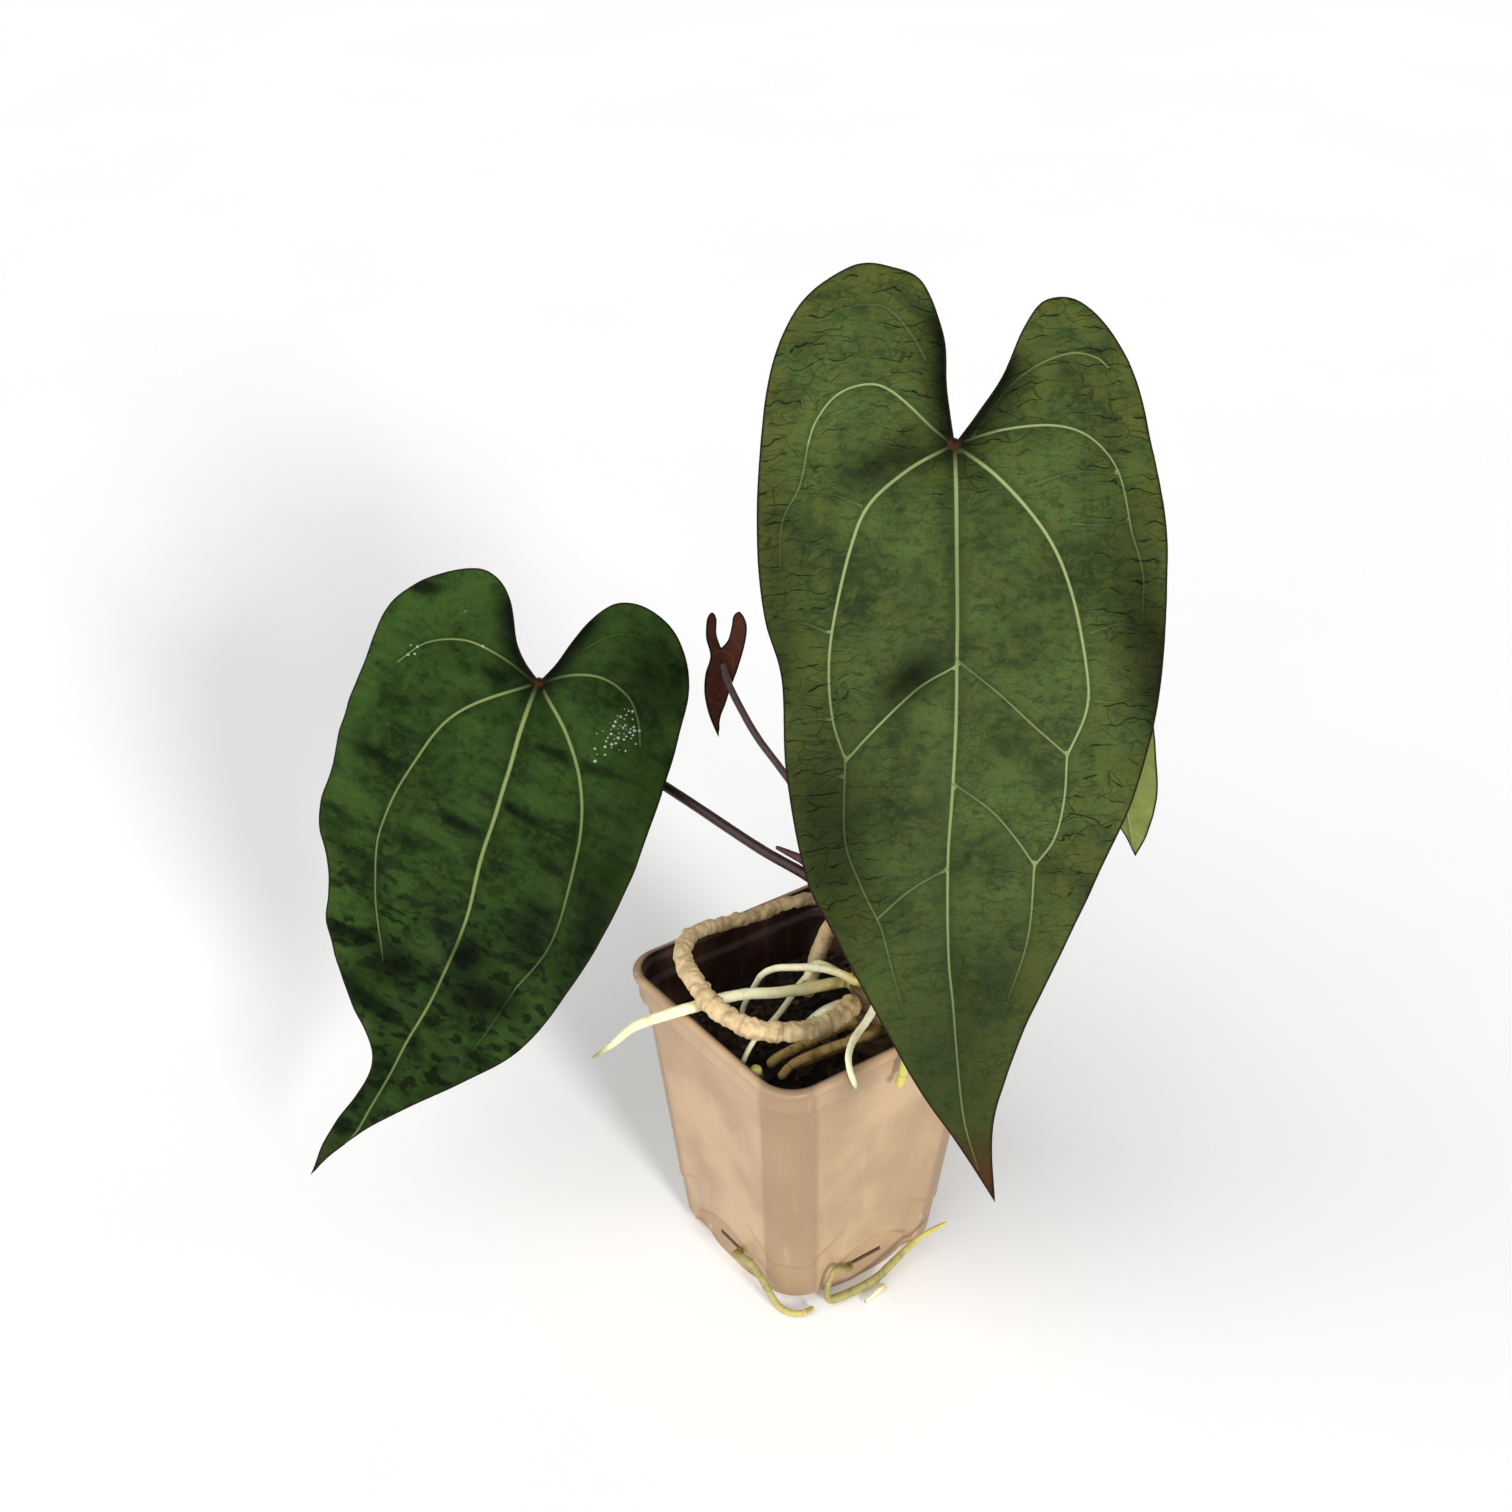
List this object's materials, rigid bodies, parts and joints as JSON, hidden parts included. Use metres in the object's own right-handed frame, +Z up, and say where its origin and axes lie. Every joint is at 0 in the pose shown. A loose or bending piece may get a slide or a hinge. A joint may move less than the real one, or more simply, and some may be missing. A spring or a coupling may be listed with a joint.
{
  "type": "potted anthurium",
  "caption": "Young anthurium with heart-shaped hanging leaves on thin petioles and loose aerial roots, in a small square nursery pot",
  "frame": {"origin": "centre of the pot's flat base, on the surface the pot stands on", "axes": "+Z up; the pot's flat sides face +X, -X, +Y and -Y; the large leaf hangs out over the +X side and the left leaf hangs out towards -X and -Y"},
  "size_m": [0.2101, 0.1887, 0.2552],
  "materials": {
    "pot_taupe": "satin",
    "bark_medium": "matte",
    "stem_brown": "matte",
    "blade_green": "satin",
    "blade_deep_green": "satin",
    "blade_russet": "satin",
    "blade_olive": "satin",
    "petiole_purple": "satin",
    "petiole_grey_purple": "satin",
    "sheath_wine": "satin",
    "root_tan": "matte",
    "root_cream": "satin",
    "root_brown": "matte",
    "root_lime": "satin"
  },
  "bodies": {
    "root": {"pot": "pot_taupe", "growing_medium": "bark_medium", "stem": "stem_brown", "leaf_large": "blade_green", "leaf_left": "blade_deep_green", "leaf_new": "blade_russet", "leaf_back": "blade_olive", "petiole_large": "petiole_purple", "petiole_left": "petiole_purple", "petiole_new": "petiole_grey_purple", "petiole_back": "petiole_purple", "cataphyll": "sheath_wine", "root_loop": "root_tan", "root_aerial": "root_tan", "root_pale": "root_cream", "root_arch": "root_cream", "root_hook": "root_cream", "root_branch": "root_cream", "root_white": "root_cream", "drain_root_tip": "root_cream", "root_low_front": "root_brown", "root_low_middle": "root_brown", "root_low_back": "root_brown", "root_over_rim": "root_lime", "root_stub": "root_lime", "drain_root_left": "root_lime", "drain_root_front": "root_lime"}
  },
  "joints": []
}
